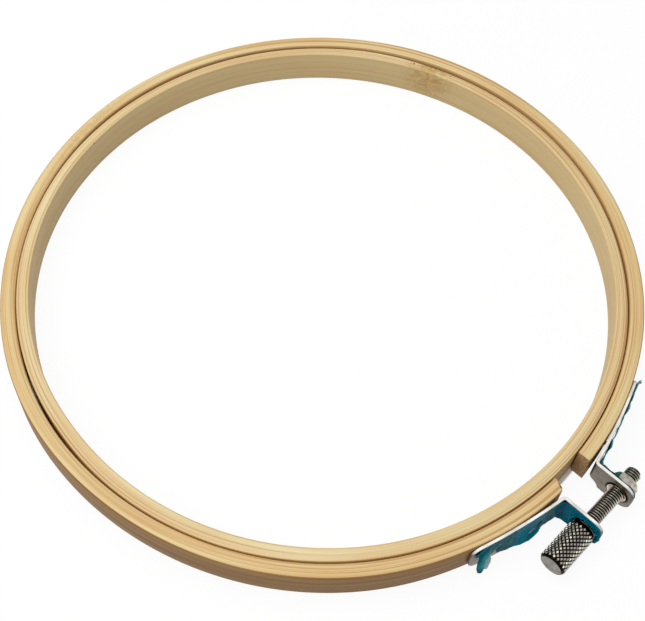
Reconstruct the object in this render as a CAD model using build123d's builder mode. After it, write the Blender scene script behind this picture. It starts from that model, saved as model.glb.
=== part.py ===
from build123d import *
from math import asin, cos, radians, sin
import os

# Embroidery hoop: a closed bamboo ring inside a split one, which a thumb screw draws together.
# Millimetres. The hoop lies flat on Z = 0 with its centre at the origin. +X runs through the middle
# of the clamp, and the screw is parallel to Y, with its head on the -Y side.

# The two rings, bent from flat strips of bamboo
opening_diameter = 151.0
ring_height = 10.0
inner_ring_thickness = 3.2
outer_ring_thickness = 3.5
ring_clearance = 0.3
ring_edge_bevel = 0.4
outer_edge_bevel = 0.6

# The split in the outer ring. The end on the head's side is sawn on the slant, so its inner corner leads.
ring_gap = 10.2
slant_cut_lead = 1.2
ring_end_rounding = 0.25

# Bracket strip: pressed steel, the long leg against the ring and the short leg square to the screw
bracket_setback = 0.65
strip_thickness = 0.8
strip_width = 9.4
strip_rise = 0.1
bend_inner_radius = 0.5
long_leg_length = 27.0
leg_radius = 165.0
leg_touch_distance = 18.0
strip_end_rounding = 3.0
sheared_edge_chamfer = 0.12

# The waist that lets the strip fold: a round bite out of its lower edge at the bend
waist_depth = 2.1
waist_radius = 2.3

# Prongs: lips lanced out of the long leg and driven into the wood
slot_length = 4.8
slot_width = 1.15
slot_slant = 48.0
slot_drop = 1.3
first_prong_margin = 8.6
last_prong_margin = 6.8
prong_depth = 1.9
prong_thickness = 0.45
prong_root_width = 3.4
prong_tip_width = 1.2

# Thumb screw, M4
screw_diameter = 4.0
screw_reach = 8.6
bracket_end_margin = 4.1
screw_hole_clearance = 0.25
head_diameter = 6.9
head_length = 11.8
head_chamfer = 0.5
neck_gap = 0.4
tip_stand_out = 3.4
tip_chamfer = 0.6

# Washer on the screw's neck
washer_diameter = 6.2
washer_thickness = 0.8
washer_edge_chamfer = 0.15
washer_seat_clearance = 0.05
running_clearance = 0.06

# Nut, riveted into its bracket by a round shank
nut_across_flats = 6.0
nut_length = 3.2
nut_chamfer = 0.45
shank_diameter = 5.4
shank_stand_out = 0.25
bore_chamfer = 0.35
rivet_groove = 0.3

# Protective film left on the outer face of each bracket
film_thickness = 0.15
film_hole_margin = 0.3

# How far a cut runs past what it cuts
cut_overrun = 1.0

# Places worked out from the sizes above
opening_radius = opening_diameter / 2
inner_ring_outside = opening_radius + inner_ring_thickness
outer_ring_inside = inner_ring_outside + ring_clearance
outer_ring_outside = outer_ring_inside + outer_ring_thickness
screw_radius = screw_diameter / 2
gap_face = ring_gap / 2
bracket_face = gap_face + bracket_setback
bracket_back = bracket_face + strip_thickness
strip_middle = strip_rise + strip_width / 2
slot_height = strip_middle - slot_drop
screw_x = outer_ring_outside + screw_reach
touch_angle = (bracket_face + leg_touch_distance) / outer_ring_outside
nut_far_face = bracket_back + nut_length
nut_corner_radius = nut_across_flats / 2 / cos(radians(30))
washer_near_face = bracket_back + washer_seat_clearance
washer_far_face = washer_near_face + washer_thickness
head_near_face = washer_far_face + neck_gap
head_far_face = head_near_face + head_length
tip_face = nut_far_face + tip_stand_out

screw_axis = Axis((screw_x, 0, strip_middle), (0, 1, 0))
screw_plane = Plane(origin=(screw_x, 0, strip_middle))
head_side_plane = Plane(origin=(screw_x, -bracket_back, strip_middle), z_dir=(0, -1, 0))
nut_side_plane = Plane(origin=(screw_x, bracket_back, strip_middle), x_dir=(0, 0, 1), z_dir=(0, 1, 0))
nut_rivet_plane = Plane(origin=(screw_x, bracket_face, strip_middle), z_dir=(0, -1, 0))


def leg_out(angle):
    """The direction out of the ring, at an angle turned from +X towards -Y."""
    return Vector(cos(angle), -sin(angle), 0)


def leg_along(angle):
    """The direction along the long leg towards the bend, at such an angle."""
    return Vector(sin(angle), cos(angle), 0)


# The long leg is bent less strongly than the ring. It touches the ring at one place, and its ends stand off.
# Its faces are arcs about this centre.
leg_centre = leg_out(touch_angle) * (outer_ring_outside - leg_radius)


def on_leg(angle, out):
    """A point in plan, at an angle about the leg's centre and so far out of the face that meets the ring."""
    point = leg_centre + leg_out(angle) * (leg_radius + out)
    return (point.X, point.Y)


def corner_angle(out):
    """The angle about the leg's centre at which the face that stands so far out meets the bend's corner."""
    return asin((bracket_face + out + leg_centre.Y) / (leg_radius + out))


# The free end, and the prongs' middles: one counted from the bend, one from the free end
free_end_angle = corner_angle(0) + long_leg_length / leg_radius
prong_angles = (
    corner_angle(0) + first_prong_margin / leg_radius,
    free_end_angle - last_prong_margin / leg_radius,
)


def prong_plane(angle):
    """The plane on the leg's inner face at a prong: X along the leg to the bend, Y up, Z out of the ring."""
    x, y = on_leg(angle, 0)
    return Plane(origin=(x, y, slot_height), x_dir=leg_along(angle), z_dir=leg_out(angle))


def leg_arc(out):
    """One face of the long leg in plan, as its free end, its middle and its corner."""
    corner = corner_angle(out)
    return (
        on_leg(free_end_angle, out),
        on_leg((free_end_angle + corner) / 2, out),
        on_leg(corner, out),
    )


def strip_plan(near, far):
    """The bent strip seen from above, between two distances out of the face that meets the ring."""
    short_end = screw_x + bracket_end_margin
    near_end, near_middle, near_corner = leg_arc(near)
    far_end, far_middle, far_corner = leg_arc(far)
    with BuildSketch(Plane.XY.offset(strip_rise)) as plan:
        with BuildLine():
            ThreePointArc(near_end, near_middle, near_corner)
            Polyline(
                near_corner,
                (short_end, near_corner[1]),
                (short_end, far_corner[1]),
                far_corner,
            )
            ThreePointArc(far_corner, far_middle, far_end)
            Line(far_end, near_end)
        make_face()
        for corner, out in ((near_corner, near), (far_corner, far)):
            bend = plan.vertices().sort_by_distance((corner[0], corner[1], strip_rise))[0]
            fillet(bend, radius=bend_inner_radius + strip_thickness - out)
    return plan.sketch


def bent_blank(near, far):
    """A bent strip with rounded ends, its waist at the bend and its two slanted slots."""
    bend = on_leg(corner_angle(near), near)
    into_bend = Vector(1, 0, 0) - leg_along(corner_angle(near))
    waist_plane = Plane(origin=(bend[0], bend[1], strip_rise + waist_depth - waist_radius), z_dir=into_bend)
    with BuildPart() as blank:
        extrude(strip_plan(near, far), amount=strip_width)
        short_end = blank.edges().filter_by(Axis.Y).group_by(Axis.X)[-1]
        fillet(short_end, radius=strip_end_rounding)
        free_end = blank.edges().filter_by(Axis(leg_centre, leg_out(free_end_angle))).group_by(Axis.Y)[0]
        fillet(free_end, radius=strip_end_rounding)
        with BuildSketch(waist_plane):
            Circle(waist_radius)
        extrude(amount=strip_width, both=True, mode=Mode.SUBTRACT)
        for angle in prong_angles:
            with BuildSketch(prong_plane(angle)):
                SlotOverall(slot_length, slot_width, rotation=slot_slant)
            extrude(amount=far + cut_overrun, both=True, mode=Mode.SUBTRACT)
    return blank.part


def ring_section(inside, thickness, inner_bevel, outer_bevel):
    """A strip's cross-section, standing on the ground at its radius, with its edges planed off."""
    with BuildSketch(Plane.XZ) as section:
        with Locations((inside + thickness / 2, ring_height / 2)):
            Rectangle(thickness, ring_height)
        chamfer(section.vertices().group_by(Axis.X)[0], length=inner_bevel)
        chamfer(section.vertices().group_by(Axis.X)[-1], length=outer_bevel)
    return section.sketch


# Prongs of the head bracket, rooted in the upper lip of each slot and standing in from it
with BuildPart() as prongs:
    slant = radians(slot_slant)
    for angle in prong_angles:
        seat = prong_plane(angle)
        along_slot = seat.x_dir * cos(slant) + seat.y_dir * sin(slant)
        across_slot = seat.y_dir * cos(slant) - seat.x_dir * sin(slant)
        with BuildSketch(Plane(seat.origin, along_slot, across_slot).offset(slot_width / 2)):
            with BuildLine():
                Polyline(
                    (-prong_root_width / 2, -strip_thickness / 2),
                    (prong_root_width / 2, -strip_thickness / 2),
                    (prong_tip_width / 2, prong_depth),
                    (-prong_tip_width / 2, prong_depth),
                    close=True,
                )
            make_face()
        extrude(amount=prong_thickness)

with BuildPart() as mirrored_prongs:
    mirror(prongs.part, about=Plane.XZ)

# Inner ring: one closed strip, all four edges eased alike
with BuildPart() as inner_ring:
    revolve(
        ring_section(opening_radius, inner_ring_thickness, ring_edge_bevel, ring_edge_bevel),
        axis=Axis.Z,
    )
inner_ring.part.label = "inner_ring"

# Outer ring: the same strip, planed off more outside, sawn through at the clamp, with the prongs' pockets
with BuildPart() as outer_ring:
    revolve(
        ring_section(outer_ring_inside, outer_ring_thickness, ring_edge_bevel, outer_edge_bevel),
        axis=Axis.Z,
    )
    overrun_lead = slant_cut_lead * cut_overrun / outer_ring_thickness
    with BuildSketch():
        with BuildLine():
            Polyline(
                (outer_ring_inside - cut_overrun, gap_face),
                (outer_ring_outside + cut_overrun, gap_face),
                (outer_ring_outside + cut_overrun, -gap_face - overrun_lead),
                (outer_ring_inside - cut_overrun, -gap_face + slant_cut_lead + overrun_lead),
                close=True,
            )
        make_face()
    extrude(amount=ring_height, mode=Mode.SUBTRACT)
    sawn_ends = outer_ring.faces().filter_by(GeomType.PLANE).filter_by(Axis.Z, reverse=True)
    fillet(sawn_ends.edges(), radius=ring_end_rounding)
    add(prongs.part, mode=Mode.SUBTRACT)
    add(mirrored_prongs.part, mode=Mode.SUBTRACT)
outer_ring.part.label = "outer_ring"

# Head bracket: the strip with its prongs and a clearance hole for the screw
with BuildPart() as head_bracket:
    add(bent_blank(0, strip_thickness))
    chamfer(head_bracket.edges(), length=sheared_edge_chamfer)
    add(prongs.part)
    with Locations(head_side_plane):
        Hole(screw_radius + screw_hole_clearance, depth=strip_thickness + cut_overrun)
head_bracket.part.label = "head_bracket"

# Nut bracket: the mirrored strip, its hole filled by the nut's shank, with a groove round the riveting
with BuildPart() as nut_bracket:
    mirror(bent_blank(0, strip_thickness), about=Plane.XZ)
    chamfer(nut_bracket.edges(), length=sheared_edge_chamfer)
    add(mirrored_prongs.part)
    with Locations(nut_rivet_plane):
        CounterSinkHole(
            shank_diameter / 2,
            shank_diameter / 2 + rivet_groove,
            depth=strip_thickness + cut_overrun,
            counter_sink_angle=90,
        )
nut_bracket.part.label = "nut_bracket"

# Thumb screw: head, neck and shank turned in one piece, round the screw axis
with BuildPart() as clamp_screw:
    with BuildSketch(screw_plane) as screw_profile:
        with BuildLine():
            Polyline(
                (0, -head_far_face),
                (head_diameter / 2, -head_far_face),
                (head_diameter / 2, -head_near_face),
                (screw_radius, -head_near_face),
                (screw_radius, tip_face),
                (0, tip_face),
                close=True,
            )
        make_face()
        rim = screw_profile.vertices().filter_by(lambda v: v.X > screw_x + screw_radius + cut_overrun)
        chamfer(rim, length=head_chamfer)
        tip = screw_profile.vertices().group_by(Axis.Y)[-1].sort_by(Axis.X)[-1]
        chamfer(tip, length=tip_chamfer)
    revolve(axis=screw_axis)
clamp_screw.part.label = "clamp_screw"

# Washer, free to turn on the screw's neck
with BuildPart() as screw_washer:
    with BuildSketch(screw_plane) as washer_profile:
        bore = screw_radius + running_clearance
        wall = washer_diameter / 2 - bore
        with Locations((bore + wall / 2, -(washer_near_face + washer_far_face) / 2)):
            Rectangle(wall, washer_thickness)
        chamfer(washer_profile.vertices().group_by(Axis.X)[-1], length=washer_edge_chamfer)
    revolve(axis=screw_axis)
screw_washer.part.label = "screw_washer"

# Nut: a hexagon with its far corners chamfered, and a shank through the bracket to the gap's side
with BuildPart() as clamp_nut:
    with BuildSketch(nut_side_plane):
        RegularPolygon(nut_across_flats / 2, 6, major_radius=False, rotation=30)
    extrude(amount=nut_length)
    with BuildSketch(screw_plane):
        with BuildLine():
            Polyline(
                (0, bracket_back),
                (nut_corner_radius, bracket_back),
                (nut_corner_radius, nut_far_face - nut_chamfer),
                (nut_corner_radius - nut_chamfer, nut_far_face),
                (0, nut_far_face),
                close=True,
            )
        make_face()
    revolve(axis=screw_axis, mode=Mode.INTERSECT)
    with BuildSketch(nut_side_plane):
        Circle(shank_diameter / 2)
    extrude(amount=-(strip_thickness + shank_stand_out))
    with Locations(nut_side_plane):
        Hole(screw_radius + running_clearance)
    bore_rims = clamp_nut.edges().filter_by(GeomType.CIRCLE).filter_by(
        lambda edge: abs(edge.radius - screw_radius - running_clearance) < running_clearance / 2
    )
    chamfer(bore_rims, length=bore_chamfer)
clamp_nut.part.label = "clamp_nut"

# Films: the strip's own outline again, on its outer face, open round the washer and the nut
with BuildPart() as head_bracket_film:
    add(bent_blank(strip_thickness, strip_thickness + film_thickness))
    with Locations(head_side_plane.offset(cut_overrun)):
        Hole(washer_diameter / 2 + film_hole_margin, depth=cut_overrun)
head_bracket_film.part.label = "head_bracket_film"

with BuildPart() as nut_bracket_film:
    mirror(bent_blank(strip_thickness, strip_thickness + film_thickness), about=Plane.XZ)
    with Locations(nut_side_plane.offset(cut_overrun)):
        Hole(nut_corner_radius + film_hole_margin, depth=cut_overrun)
nut_bracket_film.part.label = "nut_bracket_film"

os.makedirs("parts", exist_ok=True)
export_step(inner_ring.part, "parts/inner_ring.step")
export_step(outer_ring.part, "parts/outer_ring.step")
export_step(head_bracket.part, "parts/head_bracket.step")
export_step(nut_bracket.part, "parts/nut_bracket.step")
export_step(clamp_screw.part, "parts/clamp_screw.step")
export_step(screw_washer.part, "parts/screw_washer.step")
export_step(clamp_nut.part, "parts/clamp_nut.step")
export_step(head_bracket_film.part, "parts/head_bracket_film.step")
export_step(nut_bracket_film.part, "parts/nut_bracket_film.step")
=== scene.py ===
import math

import bmesh
import bpy
from mathutils import Matrix, Quaternion, Vector, noise


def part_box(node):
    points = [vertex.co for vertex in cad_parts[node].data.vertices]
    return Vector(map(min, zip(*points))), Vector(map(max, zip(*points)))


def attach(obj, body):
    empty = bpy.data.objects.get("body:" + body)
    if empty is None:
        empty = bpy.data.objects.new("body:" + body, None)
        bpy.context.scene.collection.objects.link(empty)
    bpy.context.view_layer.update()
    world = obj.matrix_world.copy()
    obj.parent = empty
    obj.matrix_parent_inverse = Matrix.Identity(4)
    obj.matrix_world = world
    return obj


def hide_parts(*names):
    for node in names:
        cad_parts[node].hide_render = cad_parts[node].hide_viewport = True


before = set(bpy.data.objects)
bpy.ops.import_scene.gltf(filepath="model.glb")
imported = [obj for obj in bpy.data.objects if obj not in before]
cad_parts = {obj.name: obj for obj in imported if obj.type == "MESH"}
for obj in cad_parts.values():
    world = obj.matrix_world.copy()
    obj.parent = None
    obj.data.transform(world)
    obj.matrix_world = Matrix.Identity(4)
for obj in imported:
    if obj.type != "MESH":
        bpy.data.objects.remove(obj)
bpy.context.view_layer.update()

MM = 0.001
UP = Vector((0, 0, 1))


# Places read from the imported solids

def node_box(name):
    """A node's lowest and highest corner, as two vectors in metres."""
    low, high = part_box(name)
    return Vector(low), Vector(high)


inner_high = node_box("inner_ring")[1]
outer_high = node_box("outer_ring")[1]
bracket_high = node_box("head_bracket")[1]
screw_low, screw_high = node_box("clamp_screw")

RING_HEIGHT = outer_high.z
INNER_OUTSIDE = inner_high.x
OUTER_OUTSIDE = outer_high.y
SCREW_X = (screw_low.x + screw_high.x) / 2
SCREW_Z = (screw_low.z + screw_high.z) / 2
BRACKET_FACE = -bracket_high.y
BRACKET_TOP = bracket_high.z
BRACKET_END = bracket_high.x
HEAD_RADIUS = (screw_high.x - screw_low.x) / 2

# Sizes that the solids' boxes don't give
INNER_THICKNESS = 3.2 * MM
OUTER_THICKNESS = 3.5 * MM
RING_GAP = 10.2 * MM
SLANT_LEAD = 1.2 * MM
STRIP_THICKNESS = 0.8 * MM
STRIP_RISE = 0.1 * MM
STRIP_ROUNDING = 3.0 * MM
RIVET_RADIUS = 2.95 * MM
HEAD_LENGTH = 11.8 * MM
THREAD_RADIUS = 2.0 * MM
THREAD_PITCH = 0.7 * MM
THREAD_DEPTH = 0.38 * MM
NECK_RADIUS = 1.9 * MM


def heading(angle):
    """The unit vector in XY at an angle from X, clockwise from above."""
    return Vector((math.cos(angle), -math.sin(angle)))


# The long leg is an arc that touches the ring at one place, and the corner is where it meets the short leg
LEG_RADIUS = 165 * MM
LEG_OUTSIDE = LEG_RADIUS + STRIP_THICKNESS
LEG_TOUCH = 18 * MM
BRACKET_BACK = BRACKET_FACE + STRIP_THICKNESS
LEG_CENTRE = heading((BRACKET_FACE + LEG_TOUCH) / OUTER_OUTSIDE) * (OUTER_OUTSIDE - LEG_RADIUS)
CORNER_ANGLE = math.asin((BRACKET_BACK + LEG_CENTRE.y) / LEG_OUTSIDE)
CORNER = LEG_CENTRE + heading(CORNER_ANGLE) * LEG_OUTSIDE

# How far each wall of the bent strips stands from its true circle: azimuth in degrees, millimetres outwards
OUTER_RING_OUTSIDE = (
    (-180, -0.16), (-165, -0.27), (-150, -0.21), (-135, -0.03), (-120, 0.33), (-110, 0.49), (-100, 0.3),
    (-90, 0.12), (-75, 0), (-60, 0.07), (-45, 0.18), (-34, 0.2), (-26, 0.02), (0, 0), (22, 0.02), (30, 0.18),
    (45, 0.1), (60, 0.07), (75, 0.13), (90, 0.16), (105, 0.26), (120, 0.2), (135, 0), (150, -0.15),
    (165, -0.28), (180, -0.16))
OUTER_RING_INSIDE = (
    (-180, -0.15), (-165, -0.3), (-150, -0.4), (-135, -0.3), (-120, 0), (-110, 0.2), (-100, 0.22), (-85, 0),
    (-60, -0.1), (-40, 0), (0, 0), (30, -0.08), (45, -0.15), (60, -0.08), (75, 0), (180, -0.15))
INNER_RING_OUTSIDE = (
    (-180, -0.74), (-165, -0.54), (-150, -0.44), (-135, -0.18), (-120, 0), (-108, 0), (-100, -0.28), (-88, 0),
    (20, 0), (30, -0.1), (40, -0.38), (50, -0.5), (60, -0.55), (75, -0.57), (90, -0.8), (105, -0.9),
    (115, -0.84), (122, -0.5), (130, -0.65), (150, -0.88), (165, -0.88), (180, -0.74))
INNER_RING_INSIDE = (
    (-180, 0), (-125, 0), (-110, -0.15), (-98, -0.45), (-85, -0.42), (-70, -0.3), (-50, -0.2), (-35, -0.08),
    (60, -0.08), (180, 0))


# Small helpers for numbers and node trees

def linear(hex_colour):
    """An sRGB hex colour as linear RGBA."""
    channels = [int(hex_colour[i:i + 2], 16) / 255 for i in (0, 2, 4)]
    return [c / 12.92 if c <= 0.04045 else ((c + 0.055) / 1.055) ** 2.4 for c in channels] + [1.0]


def reading(table, place):
    """A table's value at a place, on straight lines between its rows."""
    for (low, first), (high, second) in zip(table, table[1:]):
        if place <= high:
            return first + (second - first) * max(0.0, place - low) / (high - low)
    return table[-1][1]


def add_node(tree, kind, inputs=None, **settings):
    """Adds a node, sets its properties, and gives each named input a value or a link."""
    node = tree.nodes.new(kind)
    for name, value in settings.items():
        setattr(node, name, value)
    for name, value in (inputs or {}).items():
        if isinstance(value, bpy.types.NodeSocket):
            tree.links.new(value, node.inputs[name])
        else:
            node.inputs[name].default_value = value
    return node


def new_material(name):
    """An empty node material with its Principled shader, and the shader's tree."""
    material = bpy.data.materials.new(name)
    material.use_nodes = True
    tree = material.node_tree
    return material, tree, tree.nodes["Principled BSDF"]


def calculate(tree, operation, *values):
    """The socket of a sum on numbers or sockets."""
    return add_node(tree, "ShaderNodeMath", dict(enumerate(values)), operation=operation).outputs[0]


def vector_sum(tree, operation, *values, result="Vector"):
    """The socket of a sum on vectors or sockets."""
    node = add_node(tree, "ShaderNodeVectorMath", dict(enumerate(values)), operation=operation)
    return node.outputs[result]


def attribute(tree, name):
    """The value socket of a mesh's own attribute."""
    return add_node(tree, "ShaderNodeAttribute", attribute_name=name).outputs["Fac"]


def eased(tree, value, low, high, start=0.0, end=1.0):
    """A value's smooth step from start, at low, to end, at high."""
    node = add_node(tree, "ShaderNodeMapRange", {
        "Value": value, "From Min": low, "From Max": high, "To Min": start, "To Max": end},
        interpolation_type="SMOOTHSTEP")
    return node.outputs["Result"]


def between(tree, share, start, end):
    """A value on the straight line from start, at 0, to end, at 1."""
    node = add_node(tree, "ShaderNodeMapRange", {"Value": share, "To Min": start, "To Max": end})
    return node.outputs["Result"]


def ramp(tree, factor, stops):
    """A colour ramp's colour socket, from (place, hex) stops."""
    node = add_node(tree, "ShaderNodeValToRGB", {"Fac": factor})
    elements = node.color_ramp.elements
    while len(elements) < len(stops):
        elements.new(0.5)
    for element, (place, colour) in zip(elements, stops):
        element.position = place
        element.color = linear(colour)
    return node.outputs["Color"]


def blend(tree, factor, first, second, kind="MIX"):
    """The socket of two colours mixed; a colour is a socket or a hex value."""
    colours = [c if isinstance(c, bpy.types.NodeSocket) else linear(c) for c in (first, second)]
    node = add_node(tree, "ShaderNodeMix", {"Factor": factor, 6: colours[0], 7: colours[1]},
                    data_type="RGBA", blend_type=kind)
    return node.outputs[2]


def mottled(tree, vector, size, detail, roughness=0.5, distortion=0.0):
    """A noise texture's value socket, with spots about so large."""
    node = add_node(tree, "ShaderNodeTexNoise", {
        "Vector": vector, "Scale": 1 / size, "Detail": detail, "Roughness": roughness,
        "Distortion": distortion})
    return node.outputs["Fac"]


def streaked(tree, vector, sizes, detail, roughness=0.5, shift=(0, 0, 0)):
    """A noise texture's value socket, with its own size along each axis."""
    drawn = add_node(tree, "ShaderNodeMapping", {
        "Vector": vector, "Location": shift, "Scale": [1 / size for size in sizes]})
    return mottled(tree, drawn.outputs["Vector"], 1.0, detail, roughness)


def bump(tree, shader, height, strength, distance):
    """Gives a shader the small relief of a height socket."""
    node = add_node(tree, "ShaderNodeBump", {"Strength": strength, "Distance": distance, "Height": height})
    tree.links.new(node.outputs["Normal"], shader.inputs["Normal"])


# Small helpers for meshes

def object_from(shape, name, body, material, replaced, smooth_angle=math.radians(35)):
    """Makes a piece from a filled bmesh, with its material, body and the nodes it replaces."""
    mesh = bpy.data.meshes.new(name)
    shape.to_mesh(mesh)
    shape.free()
    piece = bpy.data.objects.new(name, mesh)
    bpy.context.scene.collection.objects.link(piece)
    mesh.materials.append(material)
    mesh.shade_smooth()
    mesh.set_sharp_from_angle(angle=smooth_angle)
    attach(piece, body)
    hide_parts(*replaced)
    return piece


def join_into(mesh, part):
    """Adds one bmesh to another, with its attributes, and frees it."""
    joined = bpy.data.meshes.new("joined")
    part.to_mesh(joined)
    part.free()
    mesh.from_mesh(joined)
    bpy.data.meshes.remove(joined)


def add_chain(mesh, points):
    """Adds a chain of edges through points."""
    chain = [mesh.verts.new(point) for point in points]
    for first, second in zip(chain, chain[1:]):
        mesh.edges.new((first, second))


def spin(mesh, angle, steps, rise=0.0, closed=False):
    """Turns a mesh's edges about Z into faces, rising a little at each step."""
    bmesh.ops.spin(
        mesh, geom=mesh.verts[:] + mesh.edges[:], cent=(0, 0, 0), axis=(0, 0, 1), dvec=(0, 0, rise),
        angle=angle, steps=steps, use_merge=closed, use_normal_flip=False, use_duplicate=False)


def cut_edges(cut):
    """The edges that a bisection made."""
    return [e for e in cut["geom_cut"] if isinstance(e, bmesh.types.BMEdge)]


# Materials

def bamboo(name, colours, seed, ring_middle, thickness, seam, joint, specks):
    """Bamboo strip, planed and sanded without varnish: straight fibre bundles that run round the ring, darker
    towards the bark, a swirl where the culm had a joint, and a dull silky surface. The depth attribute is 0 at
    the strip's inner wall. The colours are the fibres' pale, middle and dark tone, the inner wall and
    what the bark's wall is multiplied by. The pattern starts and ends at the seam's azimuth. The joint has an
    azimuth, a reach in millimetres and a strength; each speck has its place and radius in millimetres."""
    pale, mid, dark, pith_wall, bark_wall = colours
    material, tree, shader = new_material(name)
    place = add_node(tree, "ShaderNodeTexCoord").outputs["Object"]
    turn = math.pi - math.radians(seam)
    turned = add_node(tree, "ShaderNodeMapping", {"Vector": place, "Rotation": (0, 0, turn)})
    axes = add_node(tree, "ShaderNodeSeparateXYZ", {"Vector": turned.outputs["Vector"]}).outputs
    along = calculate(tree, "MULTIPLY", calculate(tree, "ARCTAN2", axes["Y"], axes["X"]), ring_middle)
    depth = attribute(tree, "depth")
    strip = add_node(tree, "ShaderNodeCombineXYZ", {"X": along, "Y": depth, "Z": axes["Z"]}).outputs["Vector"]

    # The culm's joint bends the bundles to and fro over a few millimetres
    azimuth, reach, strength = joint
    bearing = math.radians(azimuth)
    centre = (ring_middle * math.cos(bearing), ring_middle * math.sin(bearing), 0.7 * RING_HEIGHT)
    distance = vector_sum(tree, "DISTANCE", place, centre, result="Value")
    jointed = eased(tree, distance, 0.0, reach * MM, strength, 0.0)
    swirl_size, swirl_reach = 3 * MM, 3 * MM
    swirl = add_node(tree, "ShaderNodeTexNoise", {"Vector": strip, "Scale": 1 / swirl_size, "Detail": 2.0})
    centred = vector_sum(tree, "SUBTRACT", swirl.outputs["Color"], (0.5, 0.5, 0.5))
    bending = calculate(tree, "MULTIPLY", jointed, swirl_reach)
    shift = add_node(tree, "ShaderNodeVectorMath", {0: centred, "Scale": bending}, operation="SCALE")
    bent = vector_sum(tree, "ADD", strip, shift.outputs["Vector"])

    # Bundles 0.6 mm apart, drawn a little coarser than the real 0.4 mm so that they show, and 60 mm long
    bundle_length, bundle_spacing = 60 * MM, 0.6 * MM
    bundle_sizes = (bundle_length, bundle_spacing, bundle_spacing)
    bundles = streaked(tree, bent, bundle_sizes, 4.0, 0.55, shift=(seed, seed, 0))
    fibre = ramp(tree, bundles, ((0.3, dark), (0.5, mid), (0.7, pale)))

    # Single dark bundles, thin and sharp, stronger towards the bark
    line_length, line_spacing = 110 * MM, 0.4 * MM
    lines = streaked(tree, bent, (line_length, line_spacing, line_spacing), 2.0, shift=(seed * 3, 0, seed))
    sharp = eased(tree, lines, 0.53, 0.62)
    bark = eased(tree, depth, 0.1 * thickness, thickness, 0.44, 0.62)
    colour = blend(tree, calculate(tree, "MULTIPLY", sharp, bark), fibre, "A9763C")

    # Broad tone: each stretch of the culm is a little pinker or yellower than the next
    tone_length, tone_depth = 45 * MM, 3 * MM
    tone = streaked(tree, bent, (tone_length, tone_depth, tone_depth), 2.0, shift=(seed * 2, 0, 0))
    warm = ramp(tree, tone, ((0.32, "F2E2CB"), (0.5, "F8F2E4"), (0.7, "FCFFF8")))
    colour = blend(tree, 1.0, colour, warm, "MULTIPLY")

    # The pith side is planed smoother, and its fibres hardly show
    pith = eased(tree, depth, 0.0, 0.5 * MM, 0.6, 0.0)
    colour = blend(tree, pith, colour, pith_wall)

    # Joint tissue is browner and speckled
    tissue = mottled(tree, place, 1.6 * MM, 4.0, 0.65, distortion=1.0)
    spotted = ramp(tree, tissue, ((0.36, "B4935F"), (0.5, "E4D2AA"), (0.62, "FBF6E6")))
    colour = blend(tree, jointed, colour, blend(tree, 1.0, colour, spotted, "MULTIPLY"))

    # The wall on the bark's side is browner than the planed faces
    skin = eased(tree, depth, thickness - 0.3 * MM, thickness - 0.03 * MM)
    colour = blend(tree, skin, colour, blend(tree, 1.0, colour, bark_wall, "MULTIPLY"))

    # Chips and specks
    for x, y, z, radius in specks:
        far = vector_sum(tree, "DISTANCE", place, (x * MM, y * MM, z * MM), result="Value")
        speck = eased(tree, far, 0.4 * radius * MM, radius * MM, 0.85, 0.0)
        colour = blend(tree, speck, colour, "3A2413")

    # Sawn ends show the cut bundles as brown dots in a darker, duller ground
    grain = mottled(tree, place, 0.5 * MM, 3.0, 0.6)
    cut = ramp(tree, grain, ((0.35, "8E693F"), (0.5, "BA9568"), (0.68, "CEAB7C")))
    colour = blend(tree, attribute(tree, "sawn"), colour, cut)

    tree.links.new(colour, shader.inputs["Base Color"])
    tree.links.new(between(tree, bundles, 0.66, 0.52), shader.inputs["Roughness"])
    bump(tree, shader, bundles, 0.25, 0.06 * MM)
    shader.inputs["Specular IOR Level"].default_value = 0.3
    return material


def rolled_steel():
    """Cold-rolled steel strip, cut by shears and pressed: grey-brown faces with fine rolling lines and a
    slightly dull shine, and pale, rough edges where the shears tore it, whose paleness is partly a painted
    highlight of the overhead light."""
    material, tree, shader = new_material("cold_rolled_steel")
    place = add_node(tree, "ShaderNodeTexCoord").outputs
    line_length, line_spacing = 6 * MM, 0.25 * MM
    rolling = streaked(tree, place["Object"], (line_length, line_length, line_spacing), 3.0)
    blotch = mottled(tree, place["Object"], 3 * MM, 4.0)
    face = ramp(tree, blotch, ((0.3, "655E54"), (0.7, "8A8277")))

    # A dark ring of painted shade in the gap round the riveted nut's shank
    from_screw = vector_sum(tree, "SUBTRACT", place["Object"], (SCREW_X, 0, SCREW_Z))
    round_screw = vector_sum(tree, "MULTIPLY", from_screw, (1, 0, 1))
    reach = vector_sum(tree, "LENGTH", round_screw, result="Value")
    from_rivet = calculate(tree, "ABSOLUTE", calculate(tree, "SUBTRACT", reach, RIVET_RADIUS))
    rivet_gap_shade = eased(tree, from_rivet, 0.22 * MM, 0.45 * MM, 0.95, 0.0)

    # Faces that look up or down are the edges the shears cut; their pale colour is partly the torn steel and
    # partly a painted highlight
    facing = add_node(tree, "ShaderNodeSeparateXYZ", {"Vector": place["Normal"]})
    upright = calculate(tree, "ABSOLUTE", facing.outputs["Z"])
    cut_edge_and_highlight = eased(tree, upright, 0.35, 0.8)
    edge = ramp(tree, rolling, ((0.35, "CFCAC0"), (0.6, "F2EFE8")))
    rough = calculate(tree, "MULTIPLY_ADD", cut_edge_and_highlight, 0.15, between(tree, rolling, 0.3, 0.5))
    tree.links.new(blend(tree, rivet_gap_shade, blend(tree, cut_edge_and_highlight, face, edge), "17120E"), shader.inputs["Base Color"])
    tree.links.new(rough, shader.inputs["Roughness"])
    tree.links.new(eased(tree, upright, 0.35, 0.8, 1.0, 0.35), shader.inputs["Metallic"])
    bump(tree, shader, rolling, 0.3, 0.02 * MM)
    return material


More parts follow.
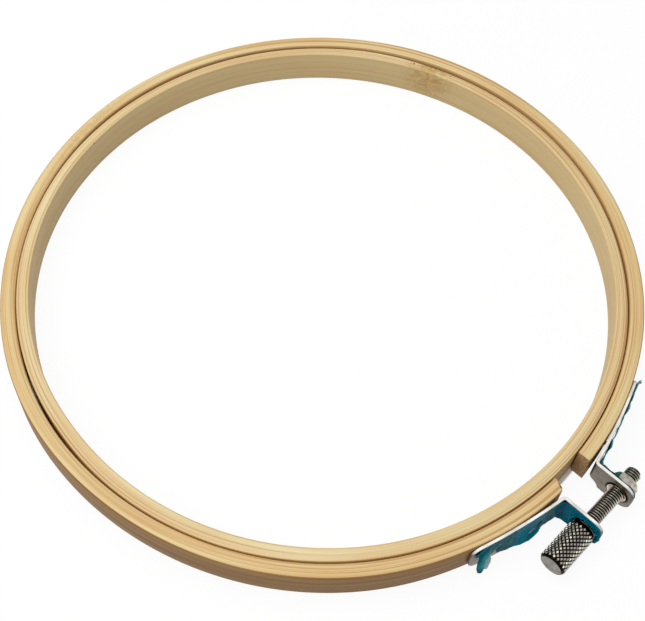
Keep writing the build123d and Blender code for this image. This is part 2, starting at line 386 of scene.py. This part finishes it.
def nickel(name, light, dull):
    """Nickel plate over turned steel, bright and slightly warm. The mesh attribute read below is 1 between the
    knurls and in the thread, where shade falls, and turns the plate nearly black there as painted shade."""
    material, tree, shader = new_material(name)
    place = add_node(tree, "ShaderNodeTexCoord").outputs["Object"]
    spots = mottled(tree, place, 1.2 * MM, 5.0, 0.6)
    plate = ramp(tree, spots, ((0.3, dull), (0.65, light)))
    # Painted shade: the attribute darkens the plate and makes it rougher
    painted_shade_share = eased(tree, attribute(tree, "painted_shade"), 0.15, 0.85)
    rough = calculate(tree, "MULTIPLY_ADD", painted_shade_share, 0.3, between(tree, spots, 0.3, 0.12))
    tree.links.new(blend(tree, painted_shade_share, plate, "15110D"), shader.inputs["Base Color"])
    tree.links.new(rough, shader.inputs["Roughness"])
    shader.inputs["Metallic"].default_value = 1.0
    return material


def protective_film():
    """Polyethylene film, dyed blue-green, left on pressed steel: limp, creased and torn, with a soft shine.
    The tint attribute is 0 where it is folded and stretched pale, 0.35 where it sticks to the steel, 1 where
    it is loose. Low tints also stand as painted light where the film faces away from the lamp."""
    material, tree, shader = new_material("polyethylene_film")
    place = add_node(tree, "ShaderNodeTexCoord").outputs["Object"]
    stretch = mottled(tree, place, 2.5 * MM, 3.0, distortion=0.6)
    creases = mottled(tree, place, 0.9 * MM, 4.0, distortion=1.5)
    varied = calculate(tree, "MULTIPLY_ADD", stretch, 0.3, -0.15)
    tint = calculate(tree, "ADD", attribute(tree, "tint"), varied)
    colour = ramp(tree, tint, (
        (0.0, "A9CFCC"), (0.15, "3FA3A8"), (0.33, "125662"), (0.6, "00829B"), (0.85, "00768F"),
        (1.0, "005A78")))
    tree.links.new(colour, shader.inputs["Base Color"])
    bump(tree, shader, creases, 0.4, 0.12 * MM)
    shader.inputs["Roughness"].default_value = 0.45
    shader.inputs["Specular IOR Level"].default_value = 0.02
    return material


inner_bamboo = bamboo(
    "sanded_bamboo_inner", ("E7D6AF", "DFCAA0", "D8BC8D", "DEC28D", "F2E2CC"), 3.1, INNER_OUTSIDE,
    INNER_THICKNESS, seam=110, joint=(110, 11, 0.85),
    specks=((-73.9, -14.1, 9.8, 0.55), (-31.2, 70.6, 10, 0.35), (-20.5, 74.4, 10, 0.3)))
# The outer ring's inner wall colour, B98E55, is painted shade: a darker brown for the narrow groove between
# the rings
outer_bamboo = bamboo(
    "sanded_bamboo_outer", ("E4D2A5", "DDC596", "D2B280", "B98E55", "BFA88F"), 8.7, OUTER_OUTSIDE,
    OUTER_THICKNESS, seam=0, joint=(-172, 26, 0.3),
    specks=((79.1, 4.9, 9.6, 0.5), (79.4, 4.8, 8.2, 0.45)))
steel = rolled_steel()
screw_nickel = nickel("nickel_plated_screw", "DAD4C9", "A59F94")
# The washer's nickel is a dark copy of the screw's: painted shade for the washer between the head and the
# bracket
shaded_washer_nickel = nickel("nickel_plated_washer_painted_dark", "6E6B5F", "35352F")
nut_nickel = nickel("nickel_plated_nut", "DDD6C7", "8F8777")
teal_film = protective_film()


# Wooden rings

RING_STEPS = 360


def ring_profile(inside, thickness, inner_rounding, outer_rounding):
    """A strip's cross-section in the XZ plane with rounded edges, as a loop of edges."""
    mesh = bmesh.new()
    bmesh.ops.create_grid(mesh, x_segments=1, y_segments=1, size=0.5)
    middle = Vector((inside + thickness / 2, 0, RING_HEIGHT / 2))
    size = Matrix.Diagonal((thickness, RING_HEIGHT, 1, 1))
    upright = Matrix.Translation(middle) @ Matrix.Rotation(math.pi / 2, 4, "X") @ size
    bmesh.ops.transform(mesh, matrix=upright, verts=mesh.verts)
    for side, rounding in ((-1, inner_rounding), (1, outer_rounding)):
        corners = [v for v in mesh.verts if len(v.link_edges) == 2 and (v.co.x - middle.x) * side > 0
                   and abs(v.co.z - middle.z) > RING_HEIGHT * 0.49]
        bmesh.ops.bevel(mesh, geom=corners, offset=rounding, segments=4, profile=0.5, affect="VERTICES",
                        material=-1)
    bmesh.ops.delete(mesh, geom=list(mesh.faces), context="FACES_ONLY")
    return mesh


def smoothed(table, azimuth):
    """A table's value at an azimuth in degrees, averaged over a few degrees each way, in metres."""
    around = (-5, -2.5, 0, 2.5, 5)
    return sum(reading(table, (azimuth + step + 180) % 360 - 180) for step in around) / len(around) * MM


def bend_strip(mesh, inside, thickness, inside_table, outside_table):
    """Moves the walls off their true circles as a bent strip's are, and keeps each point's depth in it."""
    depth = mesh.verts.layers.float.new("depth")
    for vertex in mesh.verts:
        distance = vertex.co.xy.length
        azimuth = math.degrees(math.atan2(vertex.co.y, vertex.co.x))
        vertex[depth] = distance - inside
        share = (distance - inside) / thickness
        shift = smoothed(inside_table, azimuth) * (1 - share) + smoothed(outside_table, azimuth) * share
        vertex.co.xy *= (distance + shift) / distance


def saw(mesh, point, normal, arris):
    """Cuts off what lies beyond a plane on the point's side of the clamp, closes the cut and eases its
    edges."""
    near = []
    for face in mesh.faces:
        middle = face.calc_center_median()
        if middle.x > 0 and 0 < middle.y / point.y < 2:
            near.append(face)
    near_edges = list({e for f in near for e in f.edges})
    near_verts = list({v for f in near for v in f.verts})
    cut = bmesh.ops.bisect_plane(mesh, geom=near_verts + near_edges + near, dist=1e-7, plane_co=point,
                                 plane_no=normal, clear_outer=True)
    cap = bmesh.ops.contextual_create(mesh, geom=cut_edges(cut))["faces"]
    edges = list({e for f in cap for e in f.edges})
    bmesh.ops.bevel(mesh, geom=edges, offset=arris, segments=3, profile=0.5, affect="EDGES", material=-1)
    sawn = mesh.verts.layers.float["sawn"]
    for vertex in mesh.verts:
        offset = vertex.co - point
        if abs(offset.dot(normal)) < 0.01 * MM and offset.length < 2 * RING_HEIGHT:
            vertex[sawn] = 1.0


def make_inner_ring():
    inside = INNER_OUTSIDE - INNER_THICKNESS
    mesh = ring_profile(inside, INNER_THICKNESS, 0.4 * MM, 0.3 * MM)
    spin(mesh, 2 * math.pi, RING_STEPS, closed=True)
    bend_strip(mesh, inside, INNER_THICKNESS, INNER_RING_INSIDE, INNER_RING_OUTSIDE)
    bmesh.ops.recalc_face_normals(mesh, faces=mesh.faces)
    object_from(mesh, "inner_ring_strip", "inner_hoop", inner_bamboo, ["inner_ring"])


def make_outer_ring():
    """The split ring is turned to a little short of the gap's middle on both sides, then sawn: square on the
    nut's side, and on the slant with a worn corner on the head's side."""
    inside = OUTER_OUTSIDE - OUTER_THICKNESS
    mesh = ring_profile(inside, OUTER_THICKNESS, 0.7 * MM, 0.5 * MM)
    spare = 0.045
    bmesh.ops.rotate(mesh, cent=(0, 0, 0), matrix=Matrix.Rotation(spare, 3, "Z"), verts=mesh.verts)
    spin(mesh, 2 * math.pi - 2 * spare, RING_STEPS)
    bend_strip(mesh, inside, OUTER_THICKNESS, OUTER_RING_INSIDE, OUTER_RING_OUTSIDE)
    mesh.verts.layers.float.new("sawn")
    face, worn = RING_GAP / 2, 0.5 * MM
    slant = Vector((SLANT_LEAD, OUTER_THICKNESS, 0)).normalized()
    worn_slant = (slant + Vector((1, 0, 0))).normalized()
    saw(mesh, Vector((OUTER_OUTSIDE, face, 0)), Vector((0, -1, 0)), arris=0.22 * MM)
    saw(mesh, Vector((OUTER_OUTSIDE - worn, -face, 0)), worn_slant, arris=0.3 * MM)
    saw(mesh, Vector((OUTER_OUTSIDE, -face, 0)), slant, arris=0.22 * MM)
    bmesh.ops.recalc_face_normals(mesh, faces=mesh.faces)
    object_from(mesh, "outer_ring_strip", "outer_hoop", outer_bamboo, ["outer_ring"])


make_inner_ring()
make_outer_ring()


# Thumb screw

KNURLS_AROUND = 18
KNURL_ROWS = 9
KNURL_MARGIN = 0.3 * MM
KNURL_DEPTH = 0.27 * MM
KNURL_ROOT = HEAD_RADIUS - 0.3 * MM
HEAD_BEVEL = 0.5 * MM
TIP_CHAMFER = 0.5 * MM
SCREW_OVERLAP = 0.1 * MM
NEAR = 0.01 * MM


def along_screw(y):
    """The matrix that lays a piece's own Z along the screw, with its origin at that Y."""
    return Matrix.Translation((SCREW_X, y, SCREW_Z)) @ Matrix.Rotation(-math.pi / 2, 4, "X")


def keep_on_cylinder(vertex, radius):
    """Moves a vertex to a distance from its mesh's Z axis."""
    vertex.co.xy = vertex.co.xy.normalized() * radius


def knurled_head():
    """A cylinder whose side is cut into rows of small pyramids by two crossing sets of grooves."""
    mesh = bmesh.new()
    step = (HEAD_LENGTH - 2 * KNURL_MARGIN) / KNURL_ROWS
    add_chain(mesh, [(KNURL_ROOT, 0, KNURL_MARGIN + step * row) for row in range(KNURL_ROWS + 1)])
    spin(mesh, 2 * math.pi, KNURLS_AROUND, closed=True)
    lattice = [e for e in mesh.edges if len(e.link_faces) == 2]
    bmesh.ops.poke(mesh, faces=mesh.faces[:], offset=0, center_mode="MEAN", use_relative_offset=False)
    bmesh.ops.dissolve_edges(mesh, edges=lattice, use_verts=False, use_face_split=False)
    for vertex in mesh.verts:
        keep_on_cylinder(vertex, KNURL_ROOT)
    bmesh.ops.recalc_face_normals(mesh, faces=mesh.faces)
    diamonds = [f for f in mesh.faces if len(f.verts) == 4]
    bmesh.ops.inset_individual(mesh, faces=diamonds, thickness=0.08 * MM, depth=0)
    bmesh.ops.inset_individual(mesh, faces=diamonds, thickness=0.19 * MM, depth=KNURL_DEPTH)
    rims = [e for e in mesh.edges if len(e.link_faces) == 1]
    ends = bmesh.ops.extrude_edge_only(mesh, edges=rims)["geom"]
    for vertex in [g for g in ends if isinstance(g, bmesh.types.BMVert)]:
        vertex.co.z = HEAD_LENGTH if vertex.co.z > HEAD_LENGTH / 2 else 0
        keep_on_cylinder(vertex, HEAD_RADIUS - HEAD_BEVEL)
    rims = [e for e in mesh.edges if len(e.link_faces) == 1]
    discs = bmesh.ops.holes_fill(mesh, edges=rims, sides=0)["faces"]
    bmesh.ops.inset_individual(mesh, faces=discs, thickness=0.16 * MM, depth=0)
    return mesh


def thread(length):
    """A right-hand thread along Z, one pitch of its profile turned up like a screw, with a chamfered tip."""
    per_turn = 40
    turns = math.ceil(length / THREAD_PITCH) + 2
    root = THREAD_RADIUS - THREAD_DEPTH
    crest_share, root_share = 0.14, 0.22
    flank_share = (1 - crest_share - root_share) / 2
    shares = (0, root_share, root_share + flank_share, root_share + flank_share + crest_share, 1)
    radii = (root, root, THREAD_RADIUS, THREAD_RADIUS, root)
    mesh = bmesh.new()
    add_chain(mesh, [(radius, 0, THREAD_PITCH * (share - 1)) for share, radius in zip(shares, radii)])
    spin(mesh, 2 * math.pi * turns, per_turn * turns, rise=THREAD_PITCH / per_turn)
    bmesh.ops.remove_doubles(mesh, verts=mesh.verts, dist=0.001 * MM)
    for height, normal in ((0, -UP), (length, UP)):
        cut = bmesh.ops.bisect_plane(mesh, geom=mesh.verts[:] + mesh.edges[:] + mesh.faces[:], dist=1e-8,
                                     plane_co=(0, 0, height), plane_no=normal, clear_outer=True)
        bmesh.ops.contextual_create(mesh, geom=cut_edges(cut))
    for vertex in mesh.verts:
        limit = THREAD_RADIUS - max(0, vertex.co.z - (length - TIP_CHAMFER))
        if vertex.co.xy.length > limit:
            keep_on_cylinder(vertex, limit)
    return mesh


def painted_shade_at(point):
    """How deep the painted shade on the screw is at a point: 1 in the knurl's grooves, the thread's roots and
    round the head's ends, and about half over the outer end's face."""
    reach = math.hypot(point.x - SCREW_X, point.z - SCREW_Z)
    if point.y > screw_low.y + HEAD_LENGTH - NEAR:
        on_head = reach > THREAD_RADIUS + NEAR
        return 1.0 if on_head else max(0.0, (THREAD_RADIUS - reach) / THREAD_DEPTH) ** 2
    if point.y < screw_low.y + NEAR:
        return 1.0 if reach > HEAD_RADIUS - HEAD_BEVEL - 0.05 * MM else 0.54
    return max(0.0, 1 - (reach - KNURL_ROOT) / (0.7 * KNURL_DEPTH))


def make_screw():
    """The head, the plain neck in the bracket's hole and the thread, each a closed piece of one mesh."""
    mesh = knurled_head()
    bmesh.ops.transform(mesh, matrix=along_screw(screw_low.y), verts=mesh.verts)
    thread_start = -BRACKET_FACE - STRIP_THICKNESS / 2
    neck_start = screw_low.y + HEAD_LENGTH - 2 * SCREW_OVERLAP
    neck_end = thread_start + SCREW_OVERLAP
    neck = bmesh.new()
    bmesh.ops.create_cone(neck, cap_ends=True, segments=40, radius1=NECK_RADIUS, radius2=NECK_RADIUS,
                          depth=neck_end - neck_start)
    bmesh.ops.transform(neck, matrix=along_screw((neck_start + neck_end) / 2), verts=neck.verts)
    shank = thread(screw_high.y - thread_start)
    bmesh.ops.transform(shank, matrix=along_screw(thread_start), verts=shank.verts)
    join_into(mesh, neck)
    join_into(mesh, shank)
    # Painted shade for the knurl's grooves, the thread's roots and the head's ends, kept on the mesh
    painted_shade = mesh.verts.layers.float.new("painted_shade")
    for vertex in mesh.verts:
        vertex[painted_shade] = painted_shade_at(vertex.co)
    bmesh.ops.recalc_face_normals(mesh, faces=mesh.faces)
    object_from(mesh, "thumb_screw", "screw", screw_nickel, ["clamp_screw"],
                smooth_angle=math.radians(25))


make_screw()


# Protective film, torn and creased on the brackets' outer faces

FILM_STEP = 0.25 * MM
FILM_ROWS = 34
FILM_THICKNESS = 0.08 * MM
FILM_STAND = 0.07 * MM
EDGE_FRAY = 0.08 * MM
BEND_BRIDGE = 1.0 * MM
SHORT_END = CORNER.x - BRACKET_END
LONG_END = 26.3 * MM
SLOT_PLACES = (7.9 * MM, 19.5 * MM)
SLOT_HEIGHT = 3.5 * MM
SLOT_LENGTH = 4.8 * MM
SLOT_WIDTH = 1.15 * MM
SLOT_SLANT = math.radians(48)
SLOT_HOLD = 1.2 * MM
WASHER_HOLE = 3.35 * MM
NUT_HOLE = 3.8 * MM


def on_bracket(along, height, out, side):
    """A point at a distance along a bracket from its bend, so high, and so far out of its outer face.
    Distances along the short leg are below zero. The side is -1 for the head's bracket. The film rounds the
    bend."""
    points = []
    for reach in (along - BEND_BRIDGE, along + BEND_BRIDGE):
        if reach > 0:
            points.append(LEG_CENTRE + heading(CORNER_ANGLE + reach / LEG_RADIUS) * (LEG_OUTSIDE + out))
        else:
            points.append(CORNER + Vector((-reach, -out)))
    middle = (points[0] + points[1]) / 2
    return Vector((middle.x, -side * middle.y, height))


def ripple(along, height, seed, length=2.2 * MM):
    """A slow random wave over the film, from -1 to 1."""
    return noise.noise(Vector((along / length, height / (1.6 * length), seed)))


def from_slots(along, height):
    """How far a place on the film is from the edge of the nearer slot, below zero inside it."""
    slant = Vector((-math.cos(SLOT_SLANT), math.sin(SLOT_SLANT)))
    half = (SLOT_LENGTH - SLOT_WIDTH) / 2
    distances = []
    for place in SLOT_PLACES:
        offset = Vector((along - place, height - SLOT_HEIGHT))
        reach = max(-half, min(half, offset.dot(slant)))
        distances.append((offset - slant * reach).length - SLOT_WIDTH / 2)
    return min(distances)


def in_hole(along, height, hole_radius):
    """Whether a place on the film is over one of the two slots or in the hole for the screw."""
    from_screw = math.hypot(along - (CORNER.x - SCREW_X), height - SCREW_Z)
    return from_slots(along, height) <= 0 or from_screw <= hole_radius


def end_rounding(along):
    """How far the short leg's rounded end keeps the film from its top and bottom edges."""
    left = along - SHORT_END
    if left >= STRIP_ROUNDING:
        return 0.0
    return STRIP_ROUNDING - math.sqrt(max(0.0, STRIP_ROUNDING ** 2 - (STRIP_ROUNDING - left) ** 2))


def lay_film(mesh, side, end, low, high, slack, upper_slack, tints, wave, seed, hole_radius):
    """Lays a sheet on a bracket, from the short leg's end. The tables give, by distance along in millimetres,
    the sheet's lower and upper edge, how far these stand out, and the tint."""
    start = SHORT_END
    sheet = bmesh.new()
    bmesh.ops.create_grid(sheet, x_segments=round((end - start) / FILM_STEP), y_segments=FILM_ROWS, size=0.5)
    tint = sheet.verts.layers.float.new("tint")
    places = {}
    for vertex in sheet.verts:
        along = start + (end - start) * (vertex.co.x + 0.5)
        rise = vertex.co.y + 0.5
        inset = end_rounding(along)
        fray = EDGE_FRAY * ripple(along, 0, seed + 7, 0.8 * MM)
        bottom = max(reading(low, along / MM) * MM, STRIP_RISE + inset) + fray
        top = min(reading(high, along / MM) * MM, BRACKET_TOP - inset)
        height = bottom + (top - bottom) * rise
        places[vertex] = (along, height)
        stand = reading(slack, along / MM) * (1 - rise) ** 2.4 + reading(upper_slack, along / MM) * rise ** 3
        crease = ripple(along, height, seed) + 0.3 * ripple(along, rise * MM, seed + 3, 0.9 * MM)
        held = min(1.0, max(0.0, from_slots(along, height) / SLOT_HOLD))
        out = FILM_STAND + max(0.0, stand + wave * crease) * held * MM
        vertex.co = on_bracket(along, height, out, side)
        vertex[tint] = reading(tints, along / MM) + 0.12 * ripple(along, height, seed + 5)
    torn = []
    for face in sheet.faces:
        middle = [sum(places[v][i] for v in face.verts) / len(face.verts) for i in (0, 1)]
        if in_hole(*middle, hole_radius):
            torn.append(face)
    curl_pale, curl_short, curl_long = 0.22, Vector((0, side, 0)) * 0.1 * MM, Vector((1, 0, 0)) * 0.12 * MM
    for vertex in {v for f in torn for v in f.verts}:
        vertex[tint] = curl_pale
        vertex.co += curl_short if places[vertex][0] < 0 else curl_long
    bmesh.ops.delete(sheet, geom=torn, context="FACES")
    join_into(mesh, sheet)


def torn_flap(mesh, side, rows):
    """A strip of film that has come off and curls away: each row gives, in millimetres, the two edges'
    distances along, the height, how far it stands out, and then the tint."""
    flap = bmesh.new()
    bmesh.ops.create_grid(flap, x_segments=8, y_segments=24, size=0.5)
    tint = flap.verts.layers.float.new("tint")
    fall = [tuple(enumerate(column)) for column in zip(*rows)]
    bulge, shading = 0.35, 0.25
    for vertex in flap.verts:
        share, down = vertex.co.x + 0.5, (0.5 - vertex.co.y) * (len(rows) - 1)
        first, last, height, out, colour = (reading(column, down) for column in fall)
        bow = bulge * math.sin(math.pi * share)
        along = first + (last - first) * share
        vertex.co = on_bracket(along * MM, height * MM, (out + bow) * MM, side)
        vertex[tint] = colour + shading * (share - 0.5)
    join_into(mesh, flap)


def torn_collar(mesh, side):
    """The ragged rim of film that stands up round the washer, torn when the screw was turned. Each of its two
    layers has an inner and an outer radius and a height, in millimetres, and a seed."""
    for inner, outer, height, seed in ((3.3, 4.0, 1.0, 2.5), (3.45, 4.3, 0.6, 6.5)):
        ring = bmesh.new()
        add_chain(ring, [((inner + (outer - inner) * share) * MM, 0, height * share ** 0.8 * MM)
                         for share in (0, 0.35, 0.7, 1)])
        spin(ring, 2 * math.pi, 90, closed=True)
        tint = ring.verts.layers.float.new("tint")
        for vertex in ring.verts:
            lift = vertex.co.z / (height * MM)
            x, y = vertex.co.xy.normalized()
            jag = noise.noise(Vector((x * 4, y * 4, seed)))
            jag += 0.5 * noise.noise(Vector((x * 11, y * 11, seed)))
            vertex.co.z = max(0.0, vertex.co.z * (0.75 + 0.7 * jag))
            vertex.co.xy *= 1 + 0.1 * lift * noise.noise(Vector((x * 6, y * 6, seed + 4)))
            vertex[tint] = 0.95 - 0.25 * lift * (1 + jag)
        seat = Matrix.Translation((SCREW_X, side * (BRACKET_BACK + FILM_STAND), SCREW_Z))
        turn = Matrix.Rotation(-side * math.pi / 2, 4, "X")
        bmesh.ops.transform(ring, matrix=seat @ turn, verts=ring.verts)
        join_into(mesh, ring)


def finish_film(mesh, name, replaced):
    """Makes the film's piece and gives it its thickness."""
    piece = object_from(mesh, name, "outer_hoop", teal_film, [replaced],
                        smooth_angle=math.radians(60))
    solid = piece.modifiers.new("thickness", "SOLIDIFY")
    solid.thickness = FILM_THICKNESS
    solid.offset = 0


def make_head_film():
    mesh = bmesh.new()
    lay_film(
        mesh, -1, 25.2 * MM,
        low=((-12, 0.1), (-3, 0.1), (-0.4, 0.1), (0.5, 0.3), (1.6, 1.1), (2.5, 1.3), (3.7, 1.3), (4.8, 1.0),
             (6.1, 0.5), (7, 0.2), (16, 0.2), (17.2, 0.6), (18.5, 1.6), (19.6, 4.6), (22, 5.2), (23.4, 4.6),
             (25.2, 6.6)),
        high=((-12, 9.45), (22, 9.45), (24, 9.2), (25.2, 8.4)),
        slack=((-12, 0.1), (-5, 0.15), (-1, 0.3), (1, 0.1), (5.5, 0.15), (6.5, 0.6), (7.8, 0.8), (9, 1.0),
               (9.8, 1.15), (11, 1.1), (11.8, 0.95), (13.4, 0.55), (15, 0.25), (17, 0.1), (26, 0.15)),
        upper_slack=((-12, 0.05), (-6, 0.1), (-1, 0.25), (1, 0.2), (4, 0.05), (22, 0.05), (24, 0.4),
                     (26, 0.8)),
        tints=((-12, 0.72), (-8, 0.72), (-5, 0.9), (-1.5, 0.85), (0.2, 1.0), (1.4, 0.9), (2.4, 0.4), (5, 0.4),
               (6.4, 0.6), (8, 0.75), (11, 0.7), (13, 0.6), (14.5, 0.36), (19, 0.34), (22, 0.5), (25.2, 0.8)),
        wave=0.18, seed=1.7, hole_radius=WASHER_HOLE)
    torn_flap(mesh, -1, (
        (20.9, 24.0, 8.9, 0.25, 0.35), (21.5, 24.6, 7.4, 0.8, 0.25), (22.1, 25.2, 5.6, 1.4, 0.15),
        (22.8, 25.5, 3.6, 1.9, 0.15), (23.6, 25.1, 1.6, 2.3, 0.3)))
    torn_flap(mesh, -1, (
        (21.4, 22.9, 4.6, 0.7, 0.1), (21.0, 23.2, 3.4, 1.1, -0.05), (21.2, 23.6, 2.0, 1.5, -0.15),
        (21.8, 23.2, 0.8, 1.8, -0.15)))
    torn_collar(mesh, -1)
    finish_film(mesh, "head_film_sheet", "head_bracket_film")


def make_nut_film():
    mesh = bmesh.new()
    lay_film(
        mesh, 1, LONG_END - 0.2 * MM,
        low=((-12, 0.1), (-0.4, 0.1), (0.5, 0.3), (1.6, 1.1), (3.7, 1.2), (6, 0.4), (10, 0.2), (22, 0.3),
             (24, 1.4), (26.3, 3.0)),
        high=((-12, 9.45), (24, 9.45), (26.3, 9.3)),
        slack=((-12, 0.1), (-3, 0.3), (0, 0.3), (6, 0.4), (12, 0.5), (20, 0.4), (26, 0.3)),
        upper_slack=((-12, 0.15), (-4, 0.3), (-1.5, 0.6), (-0.4, 0.5), (1, 0.55), (2.2, 0.45), (5.4, 0.65),
                     (7.5, 0.3), (10, 0.2), (12, 0.4), (14.6, 0.35), (17.2, 0.6), (19, 0.4), (22, 0.3),
                     (24.2, 0.3), (26.3, 0.9)),
        # Painted light: this long leg faces away from the lamp, and its low, pale tints make up for the shade
        # on it
        tints=((-12, 0.6), (-4, 0.4), (-1, 0.2), (6, 0.12), (12, 0.08), (18, 0.12), (26.3, 0.1)),
        wave=0.3, seed=5.3, hole_radius=NUT_HOLE)
    torn_flap(mesh, 1, (
        (24.4, 25.3, 9.3, 0.3, 0.3), (24.8, 25.6, 9.2, 0.5, 0.4), (25.0, 25.8, 9.0, 0.75, 0.6)))
    finish_film(mesh, "nut_film_sheet", "nut_bracket_film")


make_head_film()
make_nut_film()

for name, material, slot in (
    ("head_bracket", steel, "bracket_steel"),
    ("nut_bracket", steel, "bracket_steel"),
    ("screw_washer", shaded_washer_nickel, "screw_nickel"),
    ("clamp_nut", nut_nickel, "nut_nickel"),
):
    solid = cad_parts[name]
    solid.data.materials.clear()
    solid.data.materials.append(material)


# Floor, light and camera

def seen_rays(tree):
    """The socket that is 1 for rays from the camera, off a shiny surface or through a clear one."""
    rays = add_node(tree, "ShaderNodeLightPath").outputs
    seen = calculate(tree, "MAXIMUM", rays["Is Camera Ray"], rays["Is Glossy Ray"])
    return calculate(tree, "MAXIMUM", seen, rays["Is Transmission Ray"])


def make_floor():
    """A pale floor that shows white, with a trace of the hoop's soft shadow kept on it and the groove between
    the rings left dark. What it sends back to the hoop is grey."""
    material, tree, shader = new_material("white_card")
    shader.inputs["Roughness"].default_value = 0.9
    shader.inputs["Specular IOR Level"].default_value = 0.1
    shown = seen_rays(tree)
    tree.links.new(blend(tree, shown, "C4C4C4", "F7F7F7"), shader.inputs["Base Color"])

    # The floor glows by this share, but not under the groove
    glow_share = 0.92
    groove = INNER_OUTSIDE - 0.2 * MM
    place = add_node(tree, "ShaderNodeTexCoord").outputs["Object"]
    out = vector_sum(tree, "LENGTH", place, result="Value")
    from_groove = calculate(tree, "ABSOLUTE", calculate(tree, "SUBTRACT", out, groove))
    share = calculate(tree, "MULTIPLY", shown, eased(tree, from_groove, 0.9 * MM, 1.5 * MM, 0.0, glow_share))
    glow = add_node(tree, "ShaderNodeEmission", {"Color": linear("FFFFFF"), "Strength": 1.0})
    mixed = add_node(tree, "ShaderNodeMixShader", {
        0: share, 1: shader.outputs["BSDF"], 2: glow.outputs["Emission"]})
    tree.links.new(mixed.outputs["Shader"], tree.nodes["Material Output"].inputs["Surface"])

    half_width, drop = 2.5, 0.02 * MM
    mesh = bmesh.new()
    bmesh.ops.create_grid(mesh, x_segments=1, y_segments=1, size=half_width)
    bmesh.ops.translate(mesh, vec=(0, 0, -drop), verts=mesh.verts)
    floor_mesh = bpy.data.meshes.new("floor")
    mesh.to_mesh(floor_mesh)
    mesh.free()
    floor = bpy.data.objects.new("floor", floor_mesh)
    floor_mesh.materials.append(material)
    bpy.context.scene.collection.objects.link(floor)


def make_light():
    """One big soft lamp overhead, a little to the picture's left, in a dim grey room whose walls the metal
    shows paler."""
    world = bpy.data.worlds.new("studio")
    bpy.context.scene.world = world
    world.use_nodes = True
    tree = world.node_tree
    background = tree.nodes["Background"]
    tree.links.new(blend(tree, seen_rays(tree), "A8A8A8", "D0D0D0"), background.inputs["Color"])
    background.inputs["Strength"].default_value = 1.0

    place = Vector((-0.13, -0.14, 0.6))
    data = bpy.data.lights.new("overhead", "AREA")
    data.shape = "SQUARE"
    data.size = 0.7
    data.energy = 3.95
    lamp = bpy.data.objects.new("overhead", data)
    lamp.location = place
    lamp.rotation_euler = (-place).to_track_quat("-Z", "Y").to_euler()
    bpy.context.scene.collection.objects.link(lamp)


def make_camera():
    """The photograph's camera, from a perspective fitted to the rings' edges."""
    place = Vector((116.05, -131.455, 272.128)) * MM
    target = Vector((4.10, -4.475, 0)) * MM
    roll = math.radians(2.7727)
    picture_width = 645
    focal_pixels = 1218.92
    data = bpy.data.cameras.new("camera")
    data.sensor_width = 36
    data.lens = focal_pixels * data.sensor_width / picture_width
    data.clip_start = 0.01
    data.clip_end = 20
    camera = bpy.data.objects.new("camera", data)
    camera.location = place
    camera.rotation_mode = "QUATERNION"
    camera.rotation_quaternion = (target - place).to_track_quat("-Z", "Y") @ Quaternion((0, 0, 1), roll)
    bpy.context.scene.collection.objects.link(camera)
    bpy.context.scene.camera = camera


make_floor()
make_light()
make_camera()
bpy.context.scene.view_settings.view_transform = "Standard"
